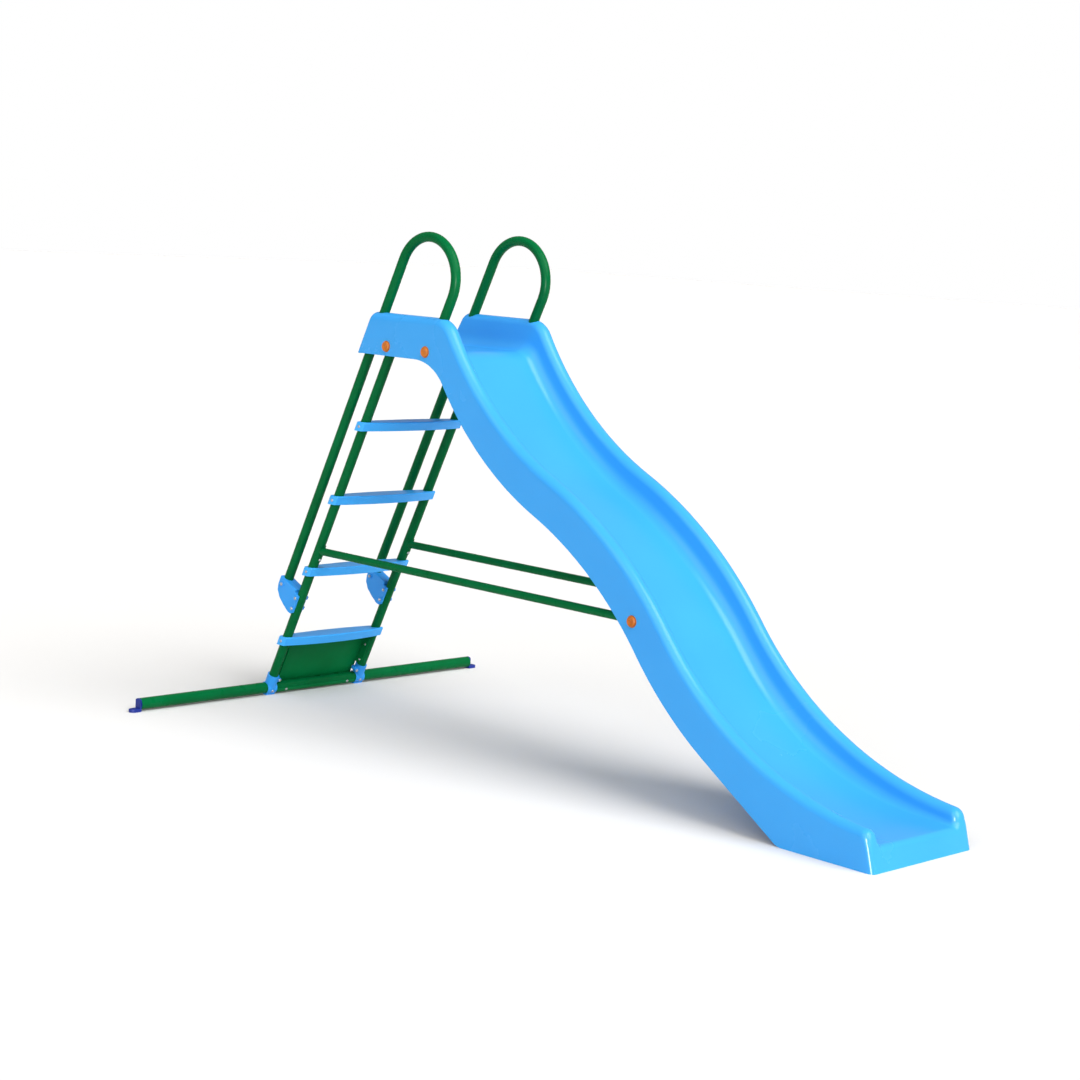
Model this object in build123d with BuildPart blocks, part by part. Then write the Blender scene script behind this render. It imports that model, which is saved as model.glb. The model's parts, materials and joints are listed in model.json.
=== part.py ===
"""Wave slide for a garden: a moulded chute on a leaning tube ladder.

The frame is right-handed, in millimetres: +X runs down the slide to the exit, +Z is up, the ground
is Z = 0, and the slide is symmetric about Y = 0. The left side is +Y. The origin is on the ground,
at the middle of the whole object's footprint.
"""
import os
from math import cos, radians, sin, tan

from build123d import *

# --- Ladder ---------------------------------------------------------------------------------------
LEAN = 24.9  # ladder's lean from vertical, degrees
SPACING = 432.0  # between the two stiles' axes
TUBE_R = 17.5  # stiles and handrails
TUBE_WALL = 1.5
FIT = 0.1  # radial clearance of a tube in a moulding, or of a bolt in its hole
BAR_R = 21.0  # base bar
BAR_WALL = 1.8
BAR_Z = 27.0  # height of the bar's axis
DATUM_Z = 31.0  # height on the stiles' axes from which lengths along them are measured
BAR_LENGTH = 1610.0
PITCH = 281.0  # from one tread to the next, and from the last tread to the platform
TREADS = 4
FIRST_TREAD_Z = 238.0
TREAD_HEIGHT = 33.0
STILE_FOOT = 24.0  # from the bar's axis to the stile's lower end
STILE_TOP = 1488.0  # from the datum to the stile's upper end

# --- Handrails, in the ladder's own axes: across the stile and along it -----------------------------
RAIL_BEND_R = 142.0
RAIL_BACK = -97.8  # long leg, behind the stile
RAIL_FRONT = RAIL_BACK + 2 * RAIL_BEND_R
RAIL_BEND_ALONG = 1758.0
RAIL_FOOT_ALONG = 376.0
RAIL_END_ALONG = 1527.0

# --- Slide body: lines seen from the side, X measured from the ladder's foot -----------------------
WALL = 5.0
BODY_WIDTH = 498.0
CHANNEL_WIDTH = 386.0
RUN = 2861.0  # from the ladder's foot to the exit's lower edge
PLATFORM_Z = FIRST_TREAD_Z + TREADS * PITCH
CREST_Z = PLATFORM_Z + 114.0
SKIRT_Z = PLATFORM_Z - 35.0
BACK_X = 459.0  # rear lower corner of the platform
FRONT_LEAN = 15.5  # the exit's front face leans back, degrees
# Each line is level, then turns through tangent arcs: (radius, slope in degrees where it ends).
CREST_START, CREST = 865.0, [(93.0, 57.5), (1180.0, 24.4), (1470.0, 51.4), (1200.0, 7.0)]
FLOOR_START, FLOOR = 850.0, [(80.0, 54.0), (1350.0, 26.0), (1650.0, 51.0), (1040.0, 4.0)]
SKIRT_START, SKIRT = 767.0, [(184.0, 54.5), (1177.0, 24.3), (1328.0, 51.2), (1311.0, 33.0)]
CREST_END_R = 35.0
OUTER_ROUND = 24.0
INNER_ROUND = 15.0
FLOOR_ROUND = 28.0

# --- Bolts through the slide's sides ---------------------------------------------------------------
BOLT_R = 4.0
BOLT_1_Z = 1360.0  # through the stile's upper end
BOLT_2_Z = 1356.0  # through the handrail's front leg
BRACE_X, BRACE_Z = 1857.0, 584.0  # through the brace's far end
BRACE_R = 14.0
BOSS_R = 15.0
CAP_R, CAP_HEIGHT, CAP_ROUND = 20.0, 8.0, 5.5

# --- Steps: plan measured from the stiles' axis ------------------------------------------------------
STEP_HALF = 240.0
STEP_FRONT_END, STEP_FRONT = 21.0, 50.0
STEP_REAR_END, STEP_REAR = 30.0, 50.0
STEP_WALL = 4.0
STEP_RIB = 3.0
STEP_ROUND = 4.0
STEP_REAR_CORNER, STEP_FRONT_CORNER = 24.0, 6.0
STEP_COLLAR_R = 22.0
SCREW_R = 2.5
SCREW_HEAD_R, SCREW_HEAD = 5.5, 3.0
SMALL_NUT = 5.0  # height of the nuts on brackets and clamps

# --- Brackets between handrail and stile, clamps on the base bar, feet, braces' saddles ---------------
BRACKET_TOP = 426.0  # along the stile
BRACKET_HALF, BRACKET_GAP = 23.0, 0.4
BRACKET_ROUND = 3.5
BRACKET_BOLT_R = 3.0
BRACKET_BOSS_R, BRACKET_BOSS = 9.5, 3.0
CLAMP_R, CLAMP_WIDTH = 23.5, 42.0
CLAMP_SOCKET_R, CLAMP_TOP = 22.5, 54.0
CLAMP_SOLE = 18.0
CLAMP_EAR, CLAMP_EAR_R, CLAMP_EAR_Y, CLAMP_EAR_ALONG = 26.0, 8.0, 26.0, 34.0
CLAMP_SCREW_ANGLE = 28.0  # below forward
CLAMP_BOLT_R = 3.0
CLAMP_SEAM = 0.5
SADDLE_MID, SADDLE_HEIGHT, SADDLE_T, SADDLE_SCREW = 604.0, 62.0, 3.0, 583.0
BORE_START = 24.0
FOOT_PLUG, FOOT_PLATE, FOOT_REACH = 25.0, 6.0, 27.0
FOOT_WIDTH, FOOT_HEIGHT = 30.0, 12.0
PEG_HOLE_R = 5.5

# --- Kick panel ------------------------------------------------------------------------------------
PANEL_T = 1.5
PANEL_HALF = SPACING / 2 - TUBE_R  # to the stiles' inner faces
PANEL_NARROW = 192.0
PANEL_LOW, PANEL_WIDEN, PANEL_SHOULDER = 9.0, 24.0, 58.0  # from the bar's axis; from the datum
PANEL_FLANGE = 36.0
PANEL_SCREW_Z = (100.0, 165.0)
PANEL_HOOK_SCREW_Y = 150.0
HOOK_FROM, HOOK_TO = 128.0, -12.0  # the gap in the hook round the bar, degrees up from forward
HOOK_SCREW_ANGLE = 25.0  # below forward

# The clamps reach furthest behind the ladder's foot; the origin is at the middle of the footprint.
REAR_REACH = CLAMP_R + (DATUM_Z - BAR_Z) * tan(radians(LEAN))
FOOT_X = -(RUN - REAR_REACH) / 2
EPS = 1.0  # how far the hollow runs below the ground

side_y = {"left": SPACING / 2, "right": -SPACING / 2}
outer_y = BODY_WIDTH / 2
lean_sin, lean_cos, lean_tan = sin(radians(LEAN)), cos(radians(LEAN)), tan(radians(LEAN))

BAR_X = FOOT_X - (DATUM_Z - BAR_Z) * lean_tan

# The ladder's own frame: X across the stile (forward), Y across the ladder, Z along the stile.
ladder = Plane(
    origin=(FOOT_X, 0, DATUM_Z), x_dir=(lean_cos, 0, -lean_sin), z_dir=(lean_sin, 0, lean_cos)
)
BAR_ALONG = (BAR_Z - DATUM_Z) / lean_cos  # the bar's axis, on the ladder's Z


def along(z, across=0.0):
    """Distance along the stile of the point at height z that lies this far across it."""
    return (z - DATUM_Z + across * lean_sin) / lean_cos


def stile_x(z):
    """X of the stiles' axis at height z."""
    return FOOT_X + (z - DATUM_Z) * lean_tan


def rail_x(z, across):
    """X of the axis that lies this far across the stile, at height z."""
    return FOOT_X + across * lean_cos + along(z, across) * lean_sin


# Bolts through the skirt: centre in the side view, and the radius of the tube each one holds.
bolt_2_point = (rail_x(BOLT_2_Z, RAIL_FRONT), BOLT_2_Z)
slide_bolt_points = {
    (stile_x(BOLT_1_Z), BOLT_1_Z): TUBE_R,
    bolt_2_point: TUBE_R,
    (FOOT_X + BRACE_X, BRACE_Z): BRACE_R,
}

UP = (Align.CENTER, Align.CENTER, Align.MIN)
DOWN = (Align.CENTER, Align.CENTER, Align.MAX)


def save(part, name):
    part.label = name
    export_step(part, f"parts/{name}.step")


os.makedirs("parts", exist_ok=True)


# --- Slide body -----------------------------------------------------------------------------------
def heading(slope):
    """Unit direction, in the side view, of a line that falls at this slope."""
    return (cos(radians(slope)), -sin(radians(slope)))


def wave(start_x, z, bends, inset=0.0):
    """Draw a bent line in the open BuildLine, moved inwards by inset; return its end and slope."""
    point, slope = Vector(FOOT_X + start_x, z - inset), 0.0
    for radius, end_slope in bends:
        inner = radius - inset if end_slope > slope else radius + inset
        arc = JernArc(start=point, tangent=heading(slope), radius=inner, arc_size=slope - end_slope)
        point, slope = arc @ 1, end_slope
    return point, slope


def rear_x(z, inset=0.0):
    """X of the platform's rear face at height z; it leans with the ladder."""
    return FOOT_X + BACK_X + (z - SKIRT_Z) * lean_tan + inset / lean_cos


def front_x(z, inset=0.0):
    """X of the exit's front face at height z."""
    return FOOT_X + RUN - z * tan(radians(FRONT_LEAN)) - inset / cos(radians(FRONT_LEAN))


def front_corner(point, slope, inset=0.0):
    """Where a line from this point, falling at this slope, meets the front face."""
    run_x, run_z = heading(slope)
    lean = tan(radians(FRONT_LEAN))
    reach = (front_x(point.Y, inset) - point.X) / (run_x + run_z * lean)
    return Vector(point.X + reach * run_x, point.Y + reach * run_z)


def side_view(inset=0.0, base_z=0.0):
    """Draw the crest line and the front face, down to base_z."""
    level = CREST_Z - inset
    Line((rear_x(level, inset), level), (FOOT_X + CREST_START, level))
    end, slope = wave(CREST_START, CREST_Z, CREST, inset)
    corner = front_corner(end, slope, inset)
    radius = CREST_END_R - inset
    setback = radius * tan(radians((90 - FRONT_LEAN - slope) / 2))
    start = corner - Vector(*heading(slope)) * setback
    Line(end, start)
    bend = JernArc(
        start=start, tangent=heading(slope), radius=radius, arc_size=slope + FRONT_LEAN - 90
    )
    Line(bend @ 1, (front_x(base_z, inset), base_z))


def matching(part, profile, half_width):
    """The part's edges at this half width that copy an edge of the side view."""
    marks = [edge @ 0.5 for edge in profile]
    return [
        edge
        for edge in part.edges()
        if abs(abs((edge @ 0.5).Y) - half_width) < 0.01
        and any(abs((edge @ 0.5).X - m.X) + abs((edge @ 0.5).Z - m.Y) < 0.5 for m in marks)
    ]


def channel_tool(half_width, inset, round_r):
    """Everything above the sliding surface and between the side rails."""
    with BuildPart() as tool:
        with BuildSketch(Plane.XZ):
            with BuildLine() as bed:
                level = PLATFORM_Z - inset
                behind = FOOT_X + BACK_X - 20
                Line((behind, level), (FOOT_X + FLOOR_START, level))
                end, slope = wave(FLOOR_START, PLATFORM_Z, FLOOR, inset)
                run_x, run_z = heading(slope)
                beyond = Vector(end.X + 150 * run_x, end.Y + 150 * run_z)
                Line(end, beyond)
                bed_edges = list(bed.edges())
                Polyline(beyond, (beyond.X, CREST_Z + 20), (behind, CREST_Z + 20), (behind, level))
            make_face()
        extrude(amount=half_width, both=True)
        fillet(matching(tool.part, bed_edges, half_width), round_r)
    return tool.part


def outer_block(half_width, inset, round_r, base_z):
    """Block between the crest line, the front face and the rear face, with rounded upper edges."""
    with BuildPart() as block:
        with BuildSketch(Plane.XZ):
            with BuildLine() as outline:
                side_view(inset, base_z)
                crest_edges = list(outline.edges())
                if inset:
                    Polyline(
                        (front_x(base_z, inset), base_z),
                        (rear_x(base_z, inset), base_z),
                        (rear_x(CREST_Z - inset, inset), CREST_Z - inset),
                    )
                else:
                    end, slope = wave(SKIRT_START, SKIRT_Z, SKIRT)
                    ground_x = end.X + end.Y / tan(radians(slope))
                    Polyline(end, (ground_x, 0), (front_x(0), 0))
                    Polyline(
                        (FOOT_X + SKIRT_START, SKIRT_Z),
                        (rear_x(SKIRT_Z), SKIRT_Z),
                        (rear_x(CREST_Z), CREST_Z),
                    )
            make_face()
        extrude(amount=half_width, both=True)
        fillet(matching(block.part, crest_edges, half_width), round_r)
    return block.part, crest_edges


def lip_edges(part, profile, half_width, inset):
    """Inner edges of the side rails and of the exit, which form one smooth loop."""
    rails = matching(part, profile[:-1], half_width)
    front = [
        edge
        for edge in part.edges()
        if abs((edge @ 0.5).Y) < half_width + 0.01
        and abs((edge @ 0.5).X - front_x((edge @ 0.5).Z, inset)) < 0.01
        and abs((edge @ 0).X - front_x((edge @ 0).Z, inset)) < 0.01
        and abs((edge @ 1).X - front_x((edge @ 1).Z, inset)) < 0.01
        and (edge @ 0.5).Z > 2
    ]
    return rails + front


with BuildPart() as cavity:
    block, inner_edges = outer_block(outer_y - WALL, WALL, OUTER_ROUND - WALL, -EPS)
    add(block)
    add(channel_tool(CHANNEL_WIDTH / 2 + WALL, WALL, FLOOR_ROUND + WALL), mode=Mode.SUBTRACT)
    fillet(lip_edges(cavity.part, inner_edges, CHANNEL_WIDTH / 2 + WALL, WALL), INNER_ROUND - WALL)

with BuildPart() as slide_body:
    block, outer_edges = outer_block(outer_y, 0.0, OUTER_ROUND, 0.0)
    add(block)
    add(channel_tool(CHANNEL_WIDTH / 2, 0.0, FLOOR_ROUND), mode=Mode.SUBTRACT)
    fillet(lip_edges(slide_body.part, outer_edges, CHANNEL_WIDTH / 2, 0.0), INNER_ROUND)
    add(cavity.part, mode=Mode.SUBTRACT)

    # The handrails' legs pass through the rails' rounded tops.
    with Locations(
        *[
            ladder.location * Pos(across, y, along(CREST_Z, across))
            for y in side_y.values()
            for across in (RAIL_BACK, RAIL_FRONT)
        ]
    ):
        Cylinder(TUBE_R + FIT, 120, mode=Mode.SUBTRACT)
    # Bosses inside the skirt reach in to the tubes that are bolted there.
    for (x, z), tube_r in slide_bolt_points.items():
        for sign in (1, -1):
            inner, outer = SPACING / 2 + tube_r + FIT, outer_y - WALL / 2
            with Locations(Location((x, sign * (inner + outer) / 2, z), (90, 0, 0))):
                Cylinder(BOSS_R, outer - inner)
                Cylinder(BOLT_R + FIT, 40, mode=Mode.SUBTRACT)
save(slide_body.part, "slide_body")


# --- Ladder's tubes -------------------------------------------------------------------------------
def cross_holes(x_z_points, radius, y, length):
    """Cut round holes across the slide at these points of the side view."""
    with Locations(*[Location((x, y, z), (90, 0, 0)) for x, z in x_z_points]):
        Cylinder(radius, length, mode=Mode.SUBTRACT)


def ladder_points(pairs):
    """Side view (x, z) of points given across the stile and along it."""
    return [(point.X, point.Z) for point in [ladder.from_local_coords((a, 0, s)) for a, s in pairs]]


bracket_stile_bolts = ladder_points([(-4, BRACKET_TOP - 27), (-4, BRACKET_TOP - 72)])
bracket_leg_bolt = ladder_points([(RAIL_BACK, BRACKET_TOP - 25)])
step_tops = [FIRST_TREAD_Z + n * PITCH for n in range(TREADS)]
step_screw_points = [(stile_x(z - TREAD_HEIGHT / 2), z - TREAD_HEIGHT / 2) for z in step_tops]
panel_screw_points = [(stile_x(z), z) for z in PANEL_SCREW_Z]

for side, y in side_y.items():
    outward = 1 if y > 0 else -1
    with BuildPart(ladder) as stile:
        stile_foot = BAR_ALONG + STILE_FOOT
        with Locations((0, y, (stile_foot + STILE_TOP) / 2)):
            Cylinder(TUBE_R, STILE_TOP - stile_foot)
            Cylinder(TUBE_R - TUBE_WALL, STILE_TOP, mode=Mode.SUBTRACT)
        with Locations(Location((12, y, SADDLE_SCREW), (0, 90, 0))):
            Cylinder(SCREW_R + FIT, 24, mode=Mode.SUBTRACT)
    with BuildPart() as drilled:
        add(stile.part)
        cross_holes([(stile_x(BOLT_1_Z), BOLT_1_Z)], BOLT_R + FIT, y, 60)
        cross_holes(bracket_stile_bolts, BRACKET_BOLT_R + FIT, y, 60)
        cross_holes(step_screw_points, SCREW_R + FIT, y + outward * 15, 30)
        cross_holes(panel_screw_points, SCREW_R + FIT, y - outward * 15, 30)
    save(drilled.part, f"stile_{side}")

    side_plane = Plane(
        origin=(FOOT_X, y, DATUM_Z), x_dir=(lean_cos, 0, -lean_sin), z_dir=(0, -1, 0)
    )
    with BuildPart() as handrail:
        with BuildLine(side_plane) as centre_line:
            Line((RAIL_BACK, RAIL_FOOT_ALONG), (RAIL_BACK, RAIL_BEND_ALONG))
            CenterArc((RAIL_BACK + RAIL_BEND_R, RAIL_BEND_ALONG), RAIL_BEND_R, 180, -180)
            Line((RAIL_FRONT, RAIL_BEND_ALONG), (RAIL_FRONT, RAIL_END_ALONG))
        with BuildSketch(centre_line.line ^ 0):
            Circle(TUBE_R)
            Circle(TUBE_R - TUBE_WALL, mode=Mode.SUBTRACT)
        sweep()
        cross_holes([bolt_2_point], BOLT_R + FIT, y, 60)
        cross_holes(bracket_leg_bolt, BRACKET_BOLT_R + FIT, y, 60)
    save(handrail.part, f"handrail_{side}")

    # Brace: level tube from the stile to the skirt's bolt, welded to a curved saddle.
    with BuildPart(ladder) as saddle:
        with Locations((0, y, SADDLE_MID)):
            Cylinder(TUBE_R + FIT + SADDLE_T, SADDLE_HEIGHT)
            Cylinder(TUBE_R + FIT, SADDLE_HEIGHT, mode=Mode.SUBTRACT)
            with Locations((-15, 0, 0)):
                Box(42, 60, SADDLE_HEIGHT + 2, mode=Mode.SUBTRACT)
        with Locations(Location((TUBE_R, y, SADDLE_SCREW), (0, 90, 0))):
            Cylinder(SCREW_R + FIT, 24, mode=Mode.SUBTRACT)
    brace_from, brace_to = stile_x(BRACE_Z), FOOT_X + BRACE_X + 20
    with BuildPart() as brace:
        with Locations(Location(((brace_from + brace_to) / 2, y, BRACE_Z), (0, 90, 0))):
            Cylinder(BRACE_R, brace_to - brace_from)
        with Locations(ladder.location * Pos(0, y, SADDLE_MID)):
            Cylinder(TUBE_R + FIT, 200, mode=Mode.SUBTRACT)
        add(saddle.part)
        with Locations(
            Location(((brace_from + brace_to) / 2 + BORE_START, y, BRACE_Z), (0, 90, 0))
        ):
            Cylinder(BRACE_R - TUBE_WALL, brace_to - brace_from, mode=Mode.SUBTRACT)
        cross_holes([(FOOT_X + BRACE_X, BRACE_Z)], BOLT_R + FIT, y, 60)
    save(brace.part, f"brace_{side}")


# --- Base bar and its feet ------------------------------------------------------------------------
def clamp_screw_place(y):
    """On a clamp's sleeve, below forward, facing away from the bar."""
    return Location((BAR_X, y, BAR_Z), (0, 90 + CLAMP_SCREW_ANGLE, 0)) * Pos(0, 0, CLAMP_R)


with BuildPart() as base_bar:
    with Locations(Location((BAR_X, 0, BAR_Z), (90, 0, 0))):
        Cylinder(BAR_R, BAR_LENGTH)
        Cylinder(BAR_R - BAR_WALL, BAR_LENGTH, mode=Mode.SUBTRACT)
    for y in (-PANEL_HOOK_SCREW_Y, PANEL_HOOK_SCREW_Y):
        with Locations(
            Location((BAR_X, y, BAR_Z), (0, 90 + HOOK_SCREW_ANGLE, 0)) * Pos(0, 0, BAR_R)
        ):
            Cylinder(SCREW_R + FIT, 12, mode=Mode.SUBTRACT)
    with Locations(*[clamp_screw_place(y) for y in side_y.values()]):
        Cylinder(SCREW_R + FIT, 20, mode=Mode.SUBTRACT)
save(base_bar.part, "base_bar")

for side, outward in {"left": 1, "right": -1}.items():
    end_y = outward * BAR_LENGTH / 2
    with BuildPart() as bar_foot:
        # Ground tab with a round end and an upright peg hole.
        with BuildSketch(Plane.XY):
            with Locations((BAR_X, end_y + outward * FOOT_REACH)):
                Circle(FOOT_WIDTH / 2)
            with Locations((BAR_X, end_y + outward * FOOT_REACH / 2)):
                Rectangle(FOOT_WIDTH, FOOT_REACH)
        extrude(amount=FOOT_HEIGHT)
        tab_top = bar_foot.faces().sort_by(Axis.Z)[-1]
        fillet([edge for edge in tab_top.edges() if abs(edge.center().Y - end_y) > 1], 3)
        # Upright plate over the bar's end, with a round top, and a hollow plug inside the bar.
        with BuildSketch(
            Plane(origin=(BAR_X, end_y, 0), x_dir=(1, 0, 0), z_dir=(0, -1, 0))
        ) as plate:
            with Locations((0, BAR_Z)):
                Circle(BAR_R)
            with Locations((0, BAR_Z / 2)):
                Rectangle(FOOT_WIDTH, BAR_Z)
            with Locations((0, BAR_Z)):
                Rectangle(FOOT_WIDTH, 2 * BAR_Z, mode=Mode.INTERSECT)
        extrude(amount=-outward * FOOT_PLATE)
        with Locations(Location((BAR_X, end_y - outward * FOOT_PLUG / 2, BAR_Z), (90, 0, 0))):
            Cylinder(BAR_R - BAR_WALL - FIT, FOOT_PLUG)
            Cylinder(BAR_R - BAR_WALL - FIT - 3, FOOT_PLUG, mode=Mode.SUBTRACT)
        with Locations((BAR_X, end_y + outward * FOOT_REACH, FOOT_HEIGHT / 2)):
            Cylinder(PEG_HOLE_R, FOOT_HEIGHT, mode=Mode.SUBTRACT)
    save(bar_foot.part, f"bar_foot_{side}")

# --- Steps ----------------------------------------------------------------------------------------
def step_outline(inset=0.0):
    """Draw a step's plan about the stiles' axis: bowed front and rear, flat ends."""
    end = STEP_HALF - inset
    front = ThreePointArc(
        (STEP_FRONT_END - inset, -end), (STEP_FRONT - inset, 0), (STEP_FRONT_END - inset, end)
    )
    rear = ThreePointArc(
        (inset - STEP_REAR_END, -end), (inset - STEP_REAR, 0), (inset - STEP_REAR_END, end)
    )
    Line(front @ 0, rear @ 0)
    Line(front @ 1, rear @ 1)


climb = (lean_sin, 0, lean_cos)
for number, top_z in enumerate(step_tops, start=1):
    base_z = top_z - TREAD_HEIGHT
    base = Plane(origin=(stile_x(base_z), 0, base_z), z_dir=(0, 0, 1))
    with BuildPart() as step_core:
        with BuildSketch(base):
            with BuildLine():
                step_outline(STEP_WALL)
            make_face()
            fillet(vertices().sort_by(Axis.X)[:2], STEP_REAR_CORNER - STEP_WALL)
        extrude(amount=(TREAD_HEIGHT - STEP_WALL) / lean_cos, dir=climb)
        # Collars stay round the stiles, and ribs stiffen the top.
        with Locations(*[ladder.location * Pos(0, y, along(top_z)) for y in side_y.values()]):
            Cylinder(STEP_COLLAR_R, 120, mode=Mode.SUBTRACT)
        with Locations((stile_x(top_z - TREAD_HEIGHT / 2), 0, top_z - TREAD_HEIGHT / 2)):
            Box(STEP_RIB, SPACING - 30, TREAD_HEIGHT + 40, mode=Mode.SUBTRACT)
            with GridLocations(0, 100, 1, 3):
                Box(120, STEP_RIB, TREAD_HEIGHT + 40, mode=Mode.SUBTRACT)
    with BuildPart() as step:
        with BuildSketch(base):
            with BuildLine():
                step_outline()
            make_face()
            corners = vertices().sort_by(Axis.X)
            fillet(corners[:2], STEP_REAR_CORNER)
            fillet(vertices().sort_by(Axis.X)[-2:], STEP_FRONT_CORNER)
        extrude(amount=TREAD_HEIGHT / lean_cos, dir=climb)
        fillet(step.faces().sort_by(Axis.Z)[-1].edges(), STEP_ROUND)
        add(step_core.part, mode=Mode.SUBTRACT)
        with Locations(*[ladder.location * Pos(0, y, along(top_z)) for y in side_y.values()]):
            Cylinder(TUBE_R + FIT, 160, mode=Mode.SUBTRACT)
        for y in (-STEP_HALF, STEP_HALF):
            cross_holes([step_screw_points[number - 1]], SCREW_R + FIT, y, 24)
    save(step.part, f"step_{number}")

# --- Brackets that tie each handrail's foot to its stile -------------------------------------------
bracket_outline = [
    (-120, 426), (-20, 426), (-20, 412), (5, 412), (5, 340), (-8, 328), (-22, 326), (-57, 335),
    (-90, 347), (-113, 367), (-120, 390),
]
for side, y in side_y.items():
    side_plane = Plane(
        origin=(FOOT_X, y, DATUM_Z), x_dir=(lean_cos, 0, -lean_sin), z_dir=(0, -1, 0)
    )
    for half, toward in {"outer": 1 if y > 0 else -1, "inner": -1 if y > 0 else 1}.items():
        with BuildPart() as rail_bracket:
            with BuildSketch(side_plane.offset(-toward * BRACKET_GAP)):
                with BuildLine():
                    Polyline(*bracket_outline, close=True)
                make_face()
                fillet(vertices(), 3)
            extrude(amount=-toward * (BRACKET_HALF - BRACKET_GAP))
            rim = rail_bracket.faces().sort_by(Axis.Y)[-1 if toward > 0 else 0]
            fillet(rim.edges(), BRACKET_ROUND)
            for x, z in bracket_stile_bolts + bracket_leg_bolt:
                face = BRACKET_HALF + BRACKET_BOSS
                with Locations(Location((x, y + toward * (face + BRACKET_GAP) / 2, z), (90, 0, 0))):
                    Cylinder(BRACKET_BOSS_R, face - BRACKET_GAP)
            with Locations(ladder.location * Pos(0, y, BRACKET_TOP)):
                Cylinder(TUBE_R + FIT, 400, mode=Mode.SUBTRACT)
            with Locations(
                ladder.location * Pos(RAIL_BACK, y, RAIL_FOOT_ALONG + 100)
            ):
                Cylinder(TUBE_R + FIT, 202, mode=Mode.SUBTRACT)
            cross_holes(bracket_stile_bolts + bracket_leg_bolt, BRACKET_BOLT_R + FIT, y, 120)
        save(rail_bracket.part, f"rail_bracket_{side}_{half}")

# --- Clamps that hold the stiles on the base bar ----------------------------------------------------
for side, y in side_y.items():
    inboard = -1 if y > 0 else 1
    with BuildPart() as bar_clamp:
        with Locations(Location((BAR_X, y, BAR_Z), (90, 0, 0))):
            Cylinder(CLAMP_R, CLAMP_WIDTH)
        with Locations((BAR_X, y, BAR_Z / 2)):
            Box(CLAMP_SOLE, CLAMP_WIDTH, BAR_Z)
        with Locations(ladder.location * Pos(0, y, CLAMP_TOP / 2)):
            Cylinder(CLAMP_SOCKET_R, CLAMP_TOP)
        ear_y = y + inboard * CLAMP_EAR_Y
        ear = ladder.location * Location((0, ear_y, CLAMP_EAR_ALONG), (0, 90, 0))
        with Locations(ear):
            Cylinder(CLAMP_EAR_R, CLAMP_EAR)
        with Locations(ladder.location * Pos(0, y + inboard * CLAMP_EAR_Y / 2, CLAMP_EAR_ALONG)):
            Box(CLAMP_EAR, CLAMP_EAR_Y, 2 * CLAMP_EAR_R)
        with Locations(Location((BAR_X, y, BAR_Z), (90, 0, 0))):
            Cylinder(BAR_R + FIT, 100, mode=Mode.SUBTRACT)
        with Locations(ladder.location * Pos(0, y, BAR_ALONG + STILE_FOOT - 2)):
            Cylinder(TUBE_R + FIT, 90, align=UP, mode=Mode.SUBTRACT)
        with Locations(ear):
            Cylinder(CLAMP_BOLT_R + FIT, 80, mode=Mode.SUBTRACT)
        with Locations(clamp_screw_place(y)):
            Cylinder(SCREW_R + FIT, 20, mode=Mode.SUBTRACT)
    for part_name, offset in {"front": 1, "rear": -1}.items():
        with BuildPart() as clamp_half:
            with Locations(ladder.location * Pos(offset * (60 + CLAMP_SEAM), y, 0)):
                Box(120, 140, 240)
            add(bar_clamp.part, mode=Mode.INTERSECT)
        save(clamp_half.part, f"bar_clamp_{side}_{part_name}")

# --- Kick panel below the first step ----------------------------------------------------------------
panel_back = -TUBE_R - 1.6 - PANEL_T
panel_top = along(FIRST_TREAD_Z - TREAD_HEIGHT - 3, panel_back)
with BuildPart(ladder) as kick_panel:
    # Web behind the stiles, narrower between the clamps' sleeves.
    with Locations((panel_back + PANEL_T / 2, 0, (PANEL_WIDEN + panel_top) / 2)):
        Box(PANEL_T, 2 * PANEL_HALF, panel_top - PANEL_WIDEN)
    panel_low = BAR_ALONG + PANEL_LOW
    with Locations((panel_back + PANEL_T / 2, 0, (panel_low + PANEL_WIDEN) / 2)):
        Box(PANEL_T, 2 * PANEL_NARROW, PANEL_WIDEN - panel_low)
    # Flanges folded forward along the stiles' inner faces.
    for y in (-PANEL_HALF + PANEL_T / 2, PANEL_HALF - PANEL_T / 2):
        with Locations((panel_back + PANEL_FLANGE / 2, y, (PANEL_SHOULDER + panel_top) / 2)):
            Box(PANEL_FLANGE, PANEL_T, panel_top - PANEL_SHOULDER)
with BuildPart() as panel_cut:
    add(kick_panel.part)
    # Lower edge hooks round the back and the underside of the bar.
    hook_r = BAR_R + FIT + PANEL_T
    with BuildSketch(Plane(origin=(BAR_X, 0, BAR_Z), x_dir=(1, 0, 0), z_dir=(0, -1, 0))):
        Circle(hook_r)
        Circle(BAR_R + FIT, mode=Mode.SUBTRACT)
        with BuildLine():
            gap_angles = [HOOK_TO + (HOOK_FROM - HOOK_TO) * n / 3 for n in range(4)]
            gap = [(60 * cos(radians(a)), 60 * sin(radians(a))) for a in gap_angles]
            Polyline((0, 0), *gap, close=True)
        make_face(mode=Mode.SUBTRACT)
    extrude(amount=PANEL_NARROW, both=True)
    for sign in (1, -1):
        cross_holes(panel_screw_points, SCREW_R + FIT, sign * PANEL_HALF, 12)
    for y in (-PANEL_HOOK_SCREW_Y, PANEL_HOOK_SCREW_Y):
        with Locations(
            Location((BAR_X, y, BAR_Z), (0, 90 + HOOK_SCREW_ANGLE, 0)) * Pos(0, 0, BAR_R)
        ):
            Cylinder(SCREW_R + FIT, 12, mode=Mode.SUBTRACT)
save(panel_cut.part, "kick_panel")


# --- Fasteners --------------------------------------------------------------------------------------
def facing(x, y, z, outward):
    """Location whose Z axis points along +Y or -Y."""
    return Location((x, y, z), (-90 * outward, 0, 0))


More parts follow.
